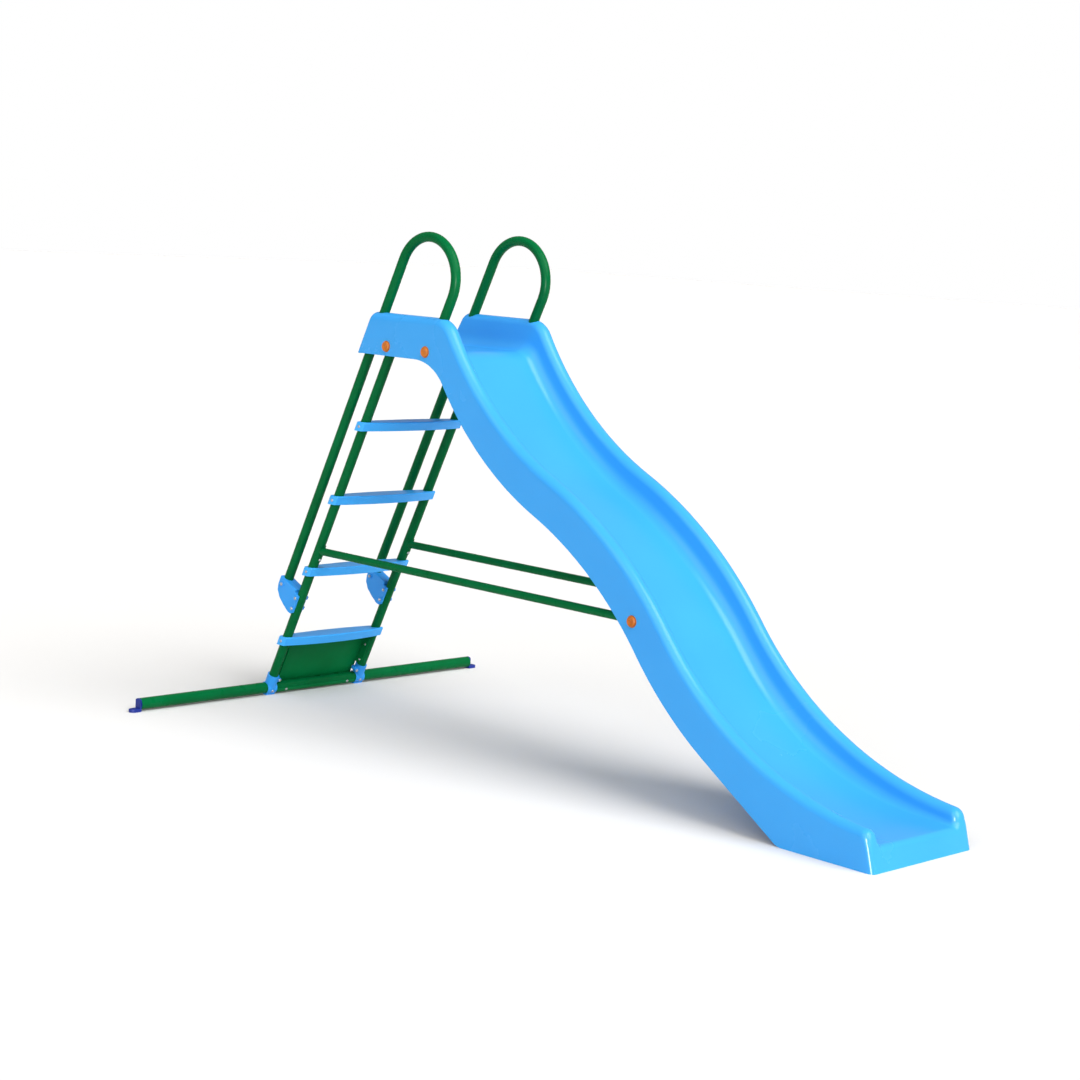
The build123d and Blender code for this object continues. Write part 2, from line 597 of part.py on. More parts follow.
def screws(places, shank_r, length, head_r, head, drive_r=0.0, washer=0.0):
    """Screws whose heads sit on these locations; the shanks run along their -Z."""
    with BuildPart() as group:
        with Locations(*places):
            Cylinder(shank_r, length, align=DOWN)
            Cylinder(head_r, head, align=UP)
        heads = [
            edge
            for edge in group.edges().filter_by(GeomType.CIRCLE)
            if abs(edge.radius - head_r) < 0.01
            and min(
                abs((edge.arc_center - (place * Pos(0, 0, head)).position).length)
                for place in places
            )
            < 0.01
        ]
        fillet(heads, head * 0.45)
        if drive_r:
            with Locations(*[place * Pos(0, 0, head) for place in places]):
                Cylinder(drive_r, head * 0.5, align=DOWN, mode=Mode.SUBTRACT)
    return group.part


def nuts(places, bolt_r, across_flats, height):
    """Hexagon nuts that stand on these locations, towards their +Z."""
    with BuildPart() as group:
        with BuildSketch(*places):
            RegularPolygon(across_flats / 2, 6, major_radius=False)
            Circle(bolt_r + FIT, mode=Mode.SUBTRACT)
        extrude(amount=height)
    return group.part


sides = (1, -1)
slide_heads = [facing(x, s * outer_y, z, s) for x, z in slide_bolt_points for s in sides]
with BuildPart() as bolt_caps:
    with Locations(*slide_heads):
        Cylinder(CAP_R, CAP_HEIGHT, align=UP)
    rims = [e for e in bolt_caps.edges() if abs(abs(e.center().Y) - outer_y - CAP_HEIGHT) < 0.01]
    fillet(rims, CAP_ROUND)
    with Locations(*slide_heads):
        Cylinder(7.5, 5.0, align=UP, mode=Mode.SUBTRACT)
    with Locations(*[head * Pos(0, 0, CAP_HEIGHT) for head in slide_heads]):
        Cylinder(4.0, 1.2, align=DOWN, mode=Mode.SUBTRACT)
save(bolt_caps.part, "bolt_caps")
save(screws(slide_heads, BOLT_R, 58, 7.0, 4.5, 2.5), "slide_bolts")

nut_places = [
    facing(x, s * (SPACING / 2 - tube_r), z, -s)
    for (x, z), tube_r in slide_bolt_points.items()
    for s in sides
]
save(nuts(nut_places, BOLT_R, 13, 6.5), "slide_nuts")

step_heads = [facing(x, s * STEP_HALF, z, s) for x, z in step_screw_points for s in sides]
save(screws(step_heads, SCREW_R, 16, SCREW_HEAD_R, SCREW_HEAD, 1.5), "step_screws")

panel_heads = [
    facing(x, s * (PANEL_HALF - PANEL_T), z, -s) for x, z in panel_screw_points for s in sides
]
hook_heads = [
    Location((BAR_X, y, BAR_Z), (0, 90 + HOOK_SCREW_ANGLE, 0)) * Pos(0, 0, hook_r)
    for y in (-PANEL_HOOK_SCREW_Y, PANEL_HOOK_SCREW_Y)
]
save(screws(panel_heads + hook_heads, SCREW_R, 10, SCREW_HEAD_R, SCREW_HEAD, 1.5), "panel_screws")

bracket_face = BRACKET_HALF + BRACKET_BOSS
bracket_points = bracket_stile_bolts + bracket_leg_bolt
bracket_heads = [
    facing(x, s * (SPACING / 2 + bracket_face), z, s) for x, z in bracket_points for s in sides
]
save(screws(bracket_heads, BRACKET_BOLT_R, 60, 6.0, 4.0, 2.0), "bracket_bolts")
bracket_backs = [
    facing(x, s * (SPACING / 2 - bracket_face), z, -s) for x, z in bracket_points for s in sides
]
save(nuts(bracket_backs, BRACKET_BOLT_R, 10, SMALL_NUT), "bracket_nuts")

clamp_heads, clamp_backs = [], []
for s in sides:
    ear_y, ear_s = s * (SPACING / 2 - CLAMP_EAR_Y), CLAMP_EAR_ALONG
    clamp_heads.append(ladder.location * Location((CLAMP_EAR / 2, ear_y, ear_s), (0, 90, 0)))
    clamp_backs.append(ladder.location * Location((-CLAMP_EAR / 2, ear_y, ear_s), (0, -90, 0)))
save(screws(clamp_heads, CLAMP_BOLT_R, CLAMP_EAR + SMALL_NUT + 1, 6.0, 4.0, 2.0), "clamp_bolts")
save(nuts(clamp_backs, CLAMP_BOLT_R, 10, SMALL_NUT), "clamp_nuts")

brace_heads = [
    ladder.location * Location((TUBE_R + FIT + SADDLE_T, y, SADDLE_SCREW), (0, 90, 0))
    for y in side_y.values()
]
save(screws(brace_heads, SCREW_R, 12, SCREW_HEAD_R, SCREW_HEAD, 1.5), "brace_screws")

sleeve_heads = [clamp_screw_place(y) for y in side_y.values()]
save(screws(sleeve_heads, SCREW_R, 9, SCREW_HEAD_R, SCREW_HEAD, 1.5), "clamp_screws")
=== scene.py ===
"""Wave slide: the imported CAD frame, with its visible surfaces modelled and finished."""
import json
from math import cos, pi, radians, sin, tan

import bmesh
import bpy
from mathutils import Matrix, Vector


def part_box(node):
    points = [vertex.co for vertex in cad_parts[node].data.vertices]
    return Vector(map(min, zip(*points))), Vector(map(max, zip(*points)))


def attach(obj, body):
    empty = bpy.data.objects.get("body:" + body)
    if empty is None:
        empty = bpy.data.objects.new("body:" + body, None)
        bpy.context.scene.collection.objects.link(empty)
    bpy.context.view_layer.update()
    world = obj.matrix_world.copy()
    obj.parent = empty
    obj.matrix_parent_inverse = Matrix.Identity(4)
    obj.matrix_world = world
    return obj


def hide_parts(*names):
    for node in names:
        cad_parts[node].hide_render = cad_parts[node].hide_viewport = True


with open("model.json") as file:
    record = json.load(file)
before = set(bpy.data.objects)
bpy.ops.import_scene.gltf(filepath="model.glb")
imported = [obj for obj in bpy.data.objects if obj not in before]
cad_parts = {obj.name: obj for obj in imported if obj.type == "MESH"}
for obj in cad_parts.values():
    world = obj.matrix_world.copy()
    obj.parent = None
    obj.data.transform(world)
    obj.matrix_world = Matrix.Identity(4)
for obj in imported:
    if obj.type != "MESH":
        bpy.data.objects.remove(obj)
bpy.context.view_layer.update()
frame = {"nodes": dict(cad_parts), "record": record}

# --- Sizes repeated from the CAD model, in metres and degrees -----------------------------------------
def middle(node):
    low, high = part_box(node)
    return (Vector(low) + Vector(high)) / 2


LEAN = 24.9
DATUM_Z = 0.031
FOOT_X = middle("base_bar").x + (DATUM_Z - middle("base_bar").z) * tan(radians(LEAN))
TUBE_R = 0.0175
STILE_Y = 0.216
PITCH, FIRST_TREAD_Z = 0.281, 0.238
PLATFORM_Z = FIRST_TREAD_Z + 4 * PITCH
CREST_Z = PLATFORM_Z + 0.114
SKIRT_Z = PLATFORM_Z - 0.035
OUTER_Y = 0.249
RUN = 2.861
BACK_X = 0.459
FRONT_LEAN = 15.5
CREST_START, CREST = 0.865, [(0.093, 57.5), (1.180, 24.4), (1.470, 51.4), (1.200, 7.0)]
FLOOR_START, FLOOR = 0.850, [(0.080, 54.0), (1.350, 26.0), (1.650, 51.0), (1.040, 4.0)]
SKIRT_START, SKIRT = 0.767, [(0.184, 54.5), (1.177, 24.3), (1.328, 51.2), (1.311, 33.0)]
lean_sin, lean_cos, lean_tan = sin(radians(LEAN)), cos(radians(LEAN)), tan(radians(LEAN))


def stile_x(z):
    return FOOT_X + (z - DATUM_Z) * lean_tan


def on_ladder(across, y, along):
    """A point in the ladder's own axes: across the stile, across the ladder, along the stile."""
    return Vector(
        (
            FOOT_X + across * lean_cos + along * lean_sin,
            y,
            DATUM_Z - across * lean_sin + along * lean_cos,
        )
    )


UP_LADDER = Vector((lean_sin, 0, lean_cos))
ACROSS_Y = Vector((0, 1, 0))


# --- Node materials ---------------------------------------------------------------------------------
class Nodes:
    """A material's node tree, with short calls for the nodes used here."""

    def __init__(self, name):
        self.material = bpy.data.materials.new(name)
        self.material.use_nodes = True
        self.tree = self.material.node_tree
        self.shader = self.tree.nodes["Principled BSDF"]
        self.coords = self.tree.nodes.new("ShaderNodeTexCoord").outputs["Object"]

    def new(self, kind, **settings):
        node = self.tree.nodes.new("ShaderNode" + kind)
        for key, value in settings.items():
            setattr(node, key, value)
        return node

    def link(self, source, target):
        self.tree.links.new(source, target)

    def noise(self, scale, detail=3.0, roughness=0.5, stretch=(1, 1, 1)):
        node = self.new("TexNoise")
        node.inputs["Scale"].default_value = scale
        node.inputs["Detail"].default_value = detail
        node.inputs["Roughness"].default_value = roughness
        mapping = self.new("Mapping")
        mapping.inputs["Scale"].default_value = stretch
        self.link(self.coords, mapping.inputs["Vector"])
        self.link(mapping.outputs["Vector"], node.inputs["Vector"])
        return node.outputs["Fac"]

    def ramp(self, value, stops):
        node = self.new("ValToRGB")
        elements = node.color_ramp.elements
        while len(elements) < len(stops):
            elements.new(0.5)
        for element, (position, colour) in zip(elements, stops):
            element.position = position
            element.color = (*colour, 1)
        self.link(value, node.inputs["Fac"])
        return node.outputs["Color"]

    def spread(self, value, low, high, start=0.0, end=1.0):
        node = self.new("MapRange")
        node.inputs["From Min"].default_value = start
        node.inputs["From Max"].default_value = end
        node.inputs["To Min"].default_value = low
        node.inputs["To Max"].default_value = high
        self.link(value, node.inputs["Value"])
        return node.outputs["Result"]

    def mix(self, factor, first, second):
        node = self.new("Mix", data_type="RGBA")
        for key, value in ((0, factor), (6, first), (7, second)):
            if isinstance(value, (int, float)):
                node.inputs[key].default_value = value
            elif isinstance(value, tuple):
                node.inputs[key].default_value = (*value, 1)
            else:
                self.link(value, node.inputs[key])
        return node.outputs[2]

    def combine(self, operation, first, second):
        node = self.new("Math", operation=operation)
        for socket, value in zip(node.inputs, (first, second)):
            if isinstance(value, (int, float)):
                socket.default_value = value
            else:
                self.link(value, socket)
        return node.outputs["Value"]

    def bumps(self, *layers):
        """Stack height maps: (height, strength, distance in metres)."""
        normal = None
        for height, strength, distance in layers:
            node = self.new("Bump")
            node.inputs["Strength"].default_value = strength
            node.inputs["Distance"].default_value = distance
            self.link(height, node.inputs["Height"])
            if normal:
                self.link(normal, node.inputs["Normal"])
            normal = node.outputs["Normal"]
        self.link(normal, self.shader.inputs["Normal"])


def moulded(name, base, light, dark, roughness=(0.30, 0.40), marks=0.05, speck=0.5):
    """Moulded plastic: soft drift in colour, fine orange peel, and faint dull scuffs.

    Marks is how much rougher the scuffs are, and speck how strong the grain's colour is.
    """
    m = Nodes(name)
    drift = m.noise(2.3, 3.0)
    colour = m.mix(m.spread(drift, 0.0, 1.0, 0.35, 0.65), dark, light)
    colour = m.mix(0.72, colour, base)
    grain = m.noise(420.0, 2.0)
    colour = m.mix(m.spread(grain, 0.0, 0.05 * speck, 0.45, 0.75), colour, dark)
    scuffs = m.spread(m.noise(26.0, 3.0, 0.6), 0.0, marks, 0.5, 0.75)
    m.link(colour, m.shader.inputs["Base Color"])
    rough = m.spread(drift, roughness[0], roughness[1], 0.3, 0.7)
    m.link(m.combine("ADD", rough, scuffs), m.shader.inputs["Roughness"])
    m.shader.inputs["IOR"].default_value = 1.49
    m.shader.inputs["Specular IOR Level"].default_value = 0.28
    m.bumps((m.noise(4.0, 1.0), 0.10, 0.0014), (m.noise(180.0, 2.0), 0.025, 0.0004))
    return m.material


def coated(name, base, light, dark, roughness=(0.24, 0.36), chips=0.35):
    """Powder coat on steel: orange peel, a little drift, and small worn specks."""
    m = Nodes(name)
    drift = m.noise(9.0, 3.0)
    colour = m.mix(m.spread(drift, 0.0, 1.0, 0.3, 0.7), dark, light)
    colour = m.mix(0.6, colour, base)
    fleck = m.new("TexVoronoi", feature="F1")
    fleck.inputs["Scale"].default_value = 55.0
    m.link(m.coords, fleck.inputs["Vector"])
    tiny = m.spread(fleck.outputs["Distance"], 1.0, 0.0, 0.05, 0.09)
    gate = m.spread(m.noise(13.0, 2.0), 0.0, chips, 0.58, 0.66)
    worn = m.combine("MULTIPLY", tiny, gate)
    colour = m.mix(worn, colour, dark)
    m.link(colour, m.shader.inputs["Base Color"])
    rough = m.spread(m.noise(24.0, 3.0), roughness[0], roughness[1], 0.3, 0.7)
    m.link(m.combine("ADD", rough, m.combine("MULTIPLY", worn, 0.3)), m.shader.inputs["Roughness"])
    m.shader.inputs["Specular IOR Level"].default_value = 0.06
    m.bumps((m.noise(330.0, 2.0), 0.14, 0.0004), (worn, 0.25, 0.0002))
    return m.material


def zinc(name):
    """Zinc-plated steel with a faint grain and mottled passivation."""
    m = Nodes(name)
    drift = m.noise(60.0, 4.0)
    colour = m.ramp(drift, [(0.3, (0.34, 0.35, 0.36)), (0.7, (0.50, 0.51, 0.53))])
    m.link(colour, m.shader.inputs["Base Color"])
    m.shader.inputs["Metallic"].default_value = 1.0
    m.link(m.spread(m.noise(140.0, 3.0), 0.24, 0.44, 0.3, 0.7), m.shader.inputs["Roughness"])
    m.bumps((m.noise(700.0, 2.0, 0.5, (1, 1, 8)), 0.15, 0.0002))
    return m.material


SLIDE = moulded(
    "slide_blue",
    (0.036, 0.315, 0.760),
    (0.041, 0.345, 0.785),
    (0.029, 0.280, 0.715),
    roughness=(0.21, 0.28),
    marks=0.006,
    speck=0.05,
)
STEP = moulded("step_blue", (0.040, 0.390, 0.92), (0.048, 0.435, 0.96), (0.028, 0.310, 0.82), speck=0.8)
BRACKET = moulded("bracket_blue", (0.026, 0.300, 0.80), (0.032, 0.340, 0.85), (0.016, 0.235, 0.70))
TUBE = coated("tube_green", (0, 0.115, 0.031), (0, 0.138, 0.04), (0, 0.077, 0.017))
SHEET = coated(
    "sheet_green", (0, 0.170, 0.045), (0, 0.193, 0.052), (0, 0.120, 0.028), roughness=(0.42, 0.55)
)
FOOT = moulded(
    "foot_blue", (0.008, 0.025, 0.225), (0.012, 0.034, 0.28), (0.005, 0.014, 0.15), (0.4, 0.55)
)
CAP = moulded("cap_orange", (0.492, 0.131, 0.009), (0.569, 0.177, 0.017), (0.354, 0.073, 0.004))
ZINC = zinc("zinc_steel")
MATERIALS = {
    "slide_plastic": SLIDE,
    "step_plastic": STEP,
    "bracket_plastic": BRACKET,
    "tube_paint": TUBE,
    "sheet_paint": SHEET,
    "foot_plastic": FOOT,
    "cap_plastic": CAP,
    "zinc_steel": ZINC,
}
slot_of = {part["node"]: part["material_slot"] for part in frame["record"]["subparts"]}
for node, cad in frame["nodes"].items():
    if not cad.material_slots:
        cad.data.materials.append(None)
    for slot in cad.material_slots:
        slot.material = MATERIALS[slot_of[node]]


# --- Mesh helpers -----------------------------------------------------------------------------------
def piece(name, verts, faces, slot, *nodes, smooth=40):
    """A finished piece: closed mesh, smooth where its faces meet gently, riding on the frame."""
    mesh = bpy.data.meshes.new(name)
    mesh.from_pydata([tuple(v) for v in verts], [], faces)
    mesh.update()
    obj = bpy.data.objects.new(name, mesh)
    bpy.context.scene.collection.objects.link(obj)
    finish_mesh(obj, smooth)
    mesh.materials.append(MATERIALS[slot])
    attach(obj, "root")
    if nodes:
        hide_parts(*nodes)
    return obj


def finish_mesh(obj, smooth=40):
    bm = bmesh.new()
    bm.from_mesh(obj.data)
    bmesh.ops.remove_doubles(bm, verts=bm.verts, dist=1e-6)
    bmesh.ops.recalc_face_normals(bm, faces=bm.faces)
    bm.to_mesh(obj.data)
    bm.free()
    obj.data.shade_smooth()
    obj.data.set_sharp_from_angle(angle=radians(smooth))


def apply_modifiers(obj):
    depsgraph = bpy.context.evaluated_depsgraph_get()
    made = bpy.data.meshes.new_from_object(obj.evaluated_get(depsgraph), depsgraph=depsgraph)
    old = obj.data
    obj.modifiers.clear()
    obj.data = made
    bpy.data.meshes.remove(old)


# --- Slide body: sections lofted along the chute, with rounded ends -----------------------------------
LINE_REAR = 0.30  # the lines start here, behind the chute's rear face
RUN_ON = 0.9  # and run straight on this far past their last bend


def heading(slope):
    return Vector((cos(radians(slope)), -sin(radians(slope))))


def wave_line(start, level, bends, step=1.5):
    """Points (x, z, slope) of a line: level, then through tangent arcs, then straight on."""
    x, z, slope = FOOT_X + start, level, 0.0
    points = [(FOOT_X + LINE_REAR, level, 0.0)]
    for radius, end in bends:
        way = 1 if end > slope else -1
        count = max(4, int(abs(end - slope) / step))
        for n in range(count):
            now = slope + (end - slope) * n / count
            points.append(
                (
                    x + way * radius * (sin(radians(now)) - sin(radians(slope))),
                    z - way * radius * (cos(radians(slope)) - cos(radians(now))),
                    now,
                )
            )
        x += way * radius * (sin(radians(end)) - sin(radians(slope)))
        z -= way * radius * (cos(radians(slope)) - cos(radians(end)))
        slope = end
    points.append((x, z, slope))
    run = heading(slope)
    points.append((x + RUN_ON * run.x, z + RUN_ON * run.y, slope))
    return points


def along_line(points, x):
    """Height and slope of a line at x."""
    for (x0, z0, s0), (x1, z1, s1) in zip(points, points[1:]):
        if x <= x1:
            t = (x - x0) / (x1 - x0)
            return z0 + (z1 - z0) * t, s0 + (s1 - s0) * t
    return points[-1][1], points[-1][2]


def meet(points, origin, ray):
    """Signed distance along a ray from origin to a line of points, and the slope there."""
    best = None
    for (x0, z0, s0), (x1, z1, s1) in zip(points, points[1:]):
        a, b = Vector((x0, z0)) - origin, Vector((x1, z1)) - origin
        ca, cb = a.x * ray.y - a.y * ray.x, b.x * ray.y - b.y * ray.x
        if (ca <= 0 <= cb) or (cb <= 0 <= ca):
            t = ca / (ca - cb) if ca != cb else 0.0
            hit = a + (b - a) * t
            reach = hit.dot(ray)
            if best is None or abs(reach) < abs(best[0]):
                best = (reach, s0 + (s1 - s0) * t)
    return best


crest = wave_line(CREST_START, CREST_Z, CREST)
bed = wave_line(FLOOR_START, PLATFORM_Z, FLOOR)
skirt = wave_line(SKIRT_START, SKIRT_Z, SKIRT)
skirt_end = skirt[-2]
ground_x = skirt_end[0] + skirt_end[1] / tan(radians(skirt_end[2]))
skirt = skirt[:-1] + [(ground_x, 0.0, 0.0), (FOOT_X + RUN + LINE_REAR, 0.0, 0.0)]

REAR_X = FOOT_X + BACK_X + (PLATFORM_Z - SKIRT_Z) * lean_tan  # rear face at the platform's level
EXIT_Z = 0.0715
FRONT_X = FOOT_X + RUN - EXIT_Z * tan(radians(FRONT_LEAN))  # front face at the exit's level
END_GAP = 0.030  # the last section stands this far inside each end face
TOP_EASE = 8.0  # the sections lean this much less by the top bend
TURN_LENGTH = 0.34  # and turn to the front face's lean over this length


def smoothstep(t):
    t = min(1.0, max(0.0, t))
    return t * t * (3 - 2 * t)


def section_lean(x, slope):
    """How far a section leans forward at this place on the bed."""
    top_radius, top_slope = FLOOR[0]
    bend_start = FOOT_X + FLOOR_START
    bend_end = bend_start + top_radius * sin(radians(top_slope))
    eased = LEAN - TOP_EASE
    if x < bend_start:
        return LEAN - TOP_EASE * smoothstep((x - REAR_X) / (bend_start - REAR_X))
    if x < bend_end:
        return eased + (top_slope - eased) * smoothstep((x - bend_start) / (bend_end - bend_start))
    settle = smoothstep((x - (FRONT_X - TURN_LENGTH)) / (TURN_LENGTH - END_GAP))
    return slope * (1 - settle) - FRONT_LEAN * settle


FINE_STEP, STEP_LENGTH, LEAST_STEP = 0.005, 0.018, 0.003
stations = []
x = REAR_X + END_GAP
top_bend = FOOT_X + FLOOR_START
while x < FRONT_X - END_GAP:
    stations.append(x)
    _, slope = along_line(bed, x)
    step = FINE_STEP if top_bend - 0.03 < x < top_bend + 0.09 else STEP_LENGTH
    x += max(LEAST_STEP, step * cos(radians(slope)))
stations.append(FRONT_X - END_GAP)

BEAD_R, BEAD_Y, DRAFT = 0.028, 0.221, 6.0  # the rail's round top, and the inner wall's lean
CHANNEL_R, CHANNEL_SHARE = 0.048, 0.84  # the channel's corner, and its limit where the rail is low
SKIRT_COUNT, BEAD_COUNT, WALL_COUNT, CORNER_COUNT, BED_COUNT = 12, 26, 6, 16, 8


def rounded(start, corner, end, weight, t):
    """A point on the round that leaves start, turns under the corner and arrives at end."""
    a, b, c = (1 - t) ** 2, 2 * t * (1 - t) * weight, t * t
    return (start * a + corner * b + end * c) / (a + b + c)


def section(depth, reach_down, bed_stretch, crest_stretch):
    """Half section from the skirt's edge over the rail to the middle: (y, distance up the ray)."""
    points = []
    bead_w = depth - BEAD_R * crest_stretch
    draft = radians(DRAFT)
    for n in range(SKIRT_COUNT):
        points.append((OUTER_Y, -reach_down + (bead_w + reach_down) * n / SKIRT_COUNT))
    for n in range(BEAD_COUNT + 1):
        angle = (pi - draft) * n / BEAD_COUNT
        points.append(
            (BEAD_Y + BEAD_R * cos(angle), bead_w + BEAD_R * crest_stretch * sin(angle))
        )
    top_y, top_h = points[-1][0], points[-1][1] / bed_stretch
    round_r = min(CHANNEL_R, CHANNEL_SHARE * bead_w / bed_stretch)
    setback = round_r * tan((pi / 2 - draft) / 2)
    corner_y = top_y - top_h * tan(draft)
    start = Vector((corner_y + setback * sin(draft), setback * cos(draft)))
    end = Vector((corner_y - setback, 0.0))
    corner = Vector((corner_y, 0.0))
    for n in range(1, WALL_COUNT + 1):
        t = n / WALL_COUNT
        points.append((top_y + (start.x - top_y) * t, (top_h + (start.y - top_h) * t) * bed_stretch))
    weight = cos((pi / 2 - draft) / 2)
    for n in range(1, CORNER_COUNT + 1):
        spot = rounded(start, corner, end, weight, n / CORNER_COUNT)
        points.append((spot.x, spot.y * bed_stretch))
    for n in range(1, BED_COUNT + 1):
        points.append((end.x * (1 - n / BED_COUNT), 0.0))
    return points


def mirrored(half):
    return [(p[0], *p[1:]) for p in half] + [(-p[0], *p[1:]) for p in reversed(half[:-1])]


rows = []
for x in stations:
    z, slope = along_line(bed, x)
    lean = section_lean(x, slope)
    ray = Vector((sin(radians(lean)), cos(radians(lean))))
    origin = Vector((x, z))
    depth, crest_slope = meet(crest, origin, ray)
    down, _ = meet(skirt, origin, -ray)
    half = section(
        depth,
        down,
        1 / cos(radians(lean - slope)),
        1 / cos(radians(lean - crest_slope)),
    )
    rows.append(
        [Vector((origin.x + ray.x * w, y, origin.y + ray.y * w)) for y, w in mirrored(half)]
    )

width = len(rows[0])
END_COUNT = 10  # steps round each end's edge
RAIL_INNER_Y, RAIL_BLEND = 0.165, 0.03  # where the ends' edges grow rounder towards the rails
RAIL_END_Z, SILL_Z = 0.118, 0.078  # heights of the rails and of the sill at the front face


def end_rows(row, plane_point, normal, heading_of, setback_of, in_plane_up):
    """Carry a section's points to an end face and round them over on to it."""
    targets, headings = [], []
    for spot in row:
        way = heading_of(spot)
        reach = (plane_point - spot).dot(normal) / way.dot(normal)
        targets.append(spot + way * reach)
        headings.append(way)
    flat = [Vector((t.y, t.dot(in_plane_up))) for t in targets]
    inward = []
    for n in range(len(flat)):
        before, after = flat[max(0, n - 1)], flat[min(len(flat) - 1, n + 1)]
        run = (after - before).normalized()
        turn = Vector((-run.y, run.x))  # left of the way round, which is into the material
        inward.append(Vector((0, turn.x, 0)) + in_plane_up * turn.y)
    inward[0] = Vector((0, -1, 0))
    inward[-1] = Vector((0, 1, 0))
    made = []
    for k in range(END_COUNT + 1):
        line = []
        for n, corner in enumerate(targets):
            back = setback_of(corner)
            start = corner - headings[n] * back
            end = corner + inward[n] * back
            weight = cos(headings[n].angle(inward[n]) / 2)
            line.append(rounded(start, corner, end, weight, k / END_COUNT))
        made.append(line)
    return made


def front_heading(spot):
    """The way the chute runs into its front face: level at the skirt's foot, steeper higher up."""
    crest_slope, bed_slope = CREST[-1][1], FLOOR[-1][1]
    if abs(spot.y) > 0.19:
        slope = crest_slope * max(0.0, min(1.0, spot.z / RAIL_END_Z))
    else:
        slope = bed_slope + (crest_slope - bed_slope) * smoothstep((spot.z - SILL_Z) / RAIL_BLEND)
    return Vector((cos(radians(slope)), 0, -sin(radians(slope))))


def towards_rail(spot):
    return smoothstep((abs(spot.y) - RAIL_INNER_Y) / RAIL_BLEND)


def front_setback(spot):
    """How far the front edge's round reaches: wide at the rails, narrower down the outer corners."""
    rail = towards_rail(spot)
    outer = smoothstep((abs(spot.y) - 0.2477) / 0.001) * smoothstep((0.095 - spot.z) / 0.02)
    return 0.016 + 0.008 * rail - 0.005 * outer * rail


def rear_setback(spot):
    return 0.007 + 0.0045 * towards_rail(spot)


front_normal = Vector((cos(radians(FRONT_LEAN)), 0, sin(radians(FRONT_LEAN))))
front_up = Vector((-sin(radians(FRONT_LEAN)), 0, cos(radians(FRONT_LEAN))))
front = end_rows(
    rows[-1], Vector((FOOT_X + RUN, 0, 0)), front_normal, front_heading, front_setback, front_up
)
rear_normal = Vector((-lean_cos, 0, lean_sin))
rear = end_rows(
    rows[0],
    Vector((REAR_X, 0, PLATFORM_Z)),
    rear_normal,
    lambda spot: Vector((-1, 0, 0)),
    rear_setback,
    UP_LADDER,
)
rows = list(reversed(rear)) + rows + front

verts = [spot for row in rows for spot in row]
faces = []
for r in range(len(rows) - 1):
    for c in range(width - 1):
        a = r * width + c
        faces.append((a, a + 1, a + width + 1, a + width))
faces.append(tuple(range(width)))
last = (len(rows) - 1) * width
faces.append(tuple(range(last + width - 1, last - 1, -1)))

WALL, SHELL_SMOOTH = 0.005, 35
slide = piece("slide_shell", verts, faces, "slide_plastic", "slide_body", smooth=SHELL_SMOOTH)
bm = bmesh.new()
bm.from_mesh(slide.data)
flat_ends = [face for face in bm.faces if len(face.verts) > 8]
bmesh.ops.triangulate(bm, faces=flat_ends, ngon_method="EAR_CLIP")
# The recalculated normals may point in; the rail's top has to face up.
top = max(bm.faces, key=lambda face: face.calc_center_median().z)
if top.normal.z < 0:
    bmesh.ops.reverse_faces(bm, faces=bm.faces)
bm.to_mesh(slide.data)
bm.free()
thick = slide.modifiers.new("wall", "SOLIDIFY")
thick.thickness = WALL
thick.offset = -1
thick.use_even_offset = True
apply_modifiers(slide)
for vertex in slide.data.vertices:
    vertex.co.z = max(vertex.co.z, 0.0)


# --- Turned pieces: caps and bosses -------------------------------------------------------------------
def turned(name, profile, spots, slot, *nodes, segments=64, smooth=40):
    """Revolve a closed (radius, height) profile at each (x, y, z, side) spot, its axis outwards."""
    verts, faces = [], []
    for x, y, z, way in spots:
        rings = []
        for radius, height in profile:
            if radius == 0:
                rings.append([len(verts)])
                verts.append((x, y + way * height, z))
                continue
            ring = []
            for n in range(segments):
                angle = 2 * pi * n / segments
                ring.append(len(verts))
                verts.append((x + radius * cos(angle), y + way * height, z + radius * sin(angle)))
            rings.append(ring)
        closed = rings[0] if len(rings[0]) > 1 else None
        loops = rings + ([closed] if closed else [])
        for first, second in zip(loops, loops[1:]):
            for n in range(segments):
                m = (n + 1) % segments
                if len(first) == 1:
                    faces.append((first[0], second[m], second[n]))
                elif len(second) == 1:
                    faces.append((first[n], first[m], second[0]))
                else:
                    faces.append((first[n], first[m], second[m], second[n]))
    return piece(name, verts, faces, slot, *nodes, smooth=smooth)


def arc(centre, radius, start, end, count):
    """Points of a profile's arc, angles in degrees from outward."""
    return [
        (
            centre[0] + radius * cos(radians(start + (end - start) * n / count)),
            centre[1] + radius * sin(radians(start + (end - start) * n / count)),
        )
        for n in range(count + 1)
    ]


